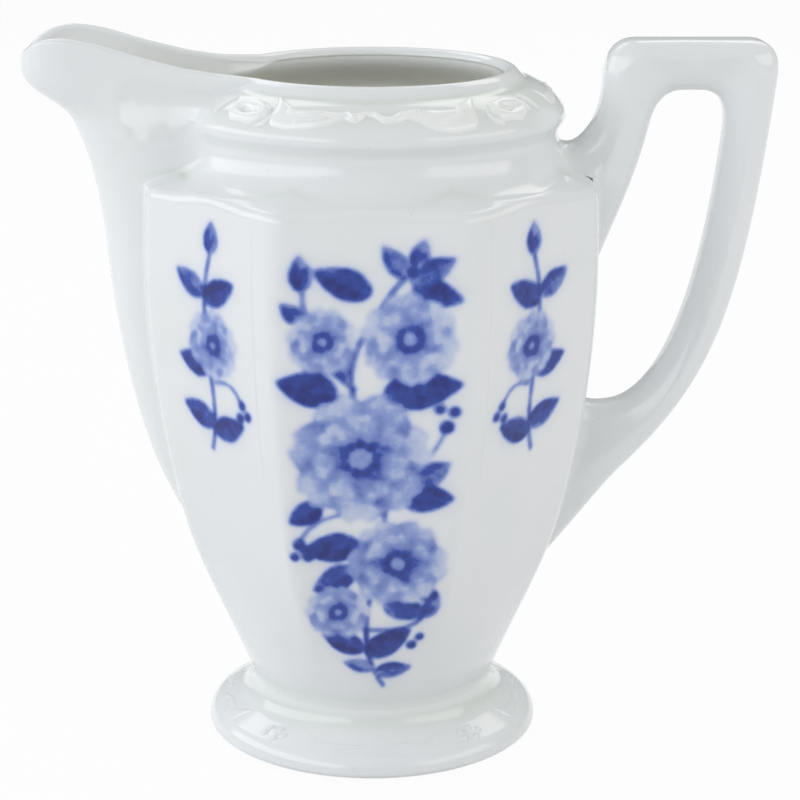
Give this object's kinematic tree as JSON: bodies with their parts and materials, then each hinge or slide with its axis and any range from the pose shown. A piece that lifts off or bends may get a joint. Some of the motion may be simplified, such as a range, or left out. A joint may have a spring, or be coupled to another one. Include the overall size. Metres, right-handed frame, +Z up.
{
  "type": "milk jug",
  "caption": "Eight-sided glazed porcelain milk jug on a round foot, with a moulded collar, a raised pouring spout and an angular loop handle.",
  "frame": {"origin": "middle of the standing ring, on the surface the jug stands on", "axes": "+Z up along the jug's axis, +X towards the handle, -X towards the spout"},
  "size_m": [0.138, 0.0818, 0.1345],
  "materials": {
    "porcelain": "glossy cool white glaze over white porcelain",
    "relief": "applied porcelain relief under the same glossy glaze"
  },
  "bodies": {
    "root": {"body": "porcelain", "collar": "porcelain", "foot": "porcelain", "spout": "porcelain", "handle": "porcelain", "collar_rosettes": "relief", "collar_swags": "relief", "foot_rosettes": "relief", "foot_swags": "relief"}
  },
  "joints": []
}
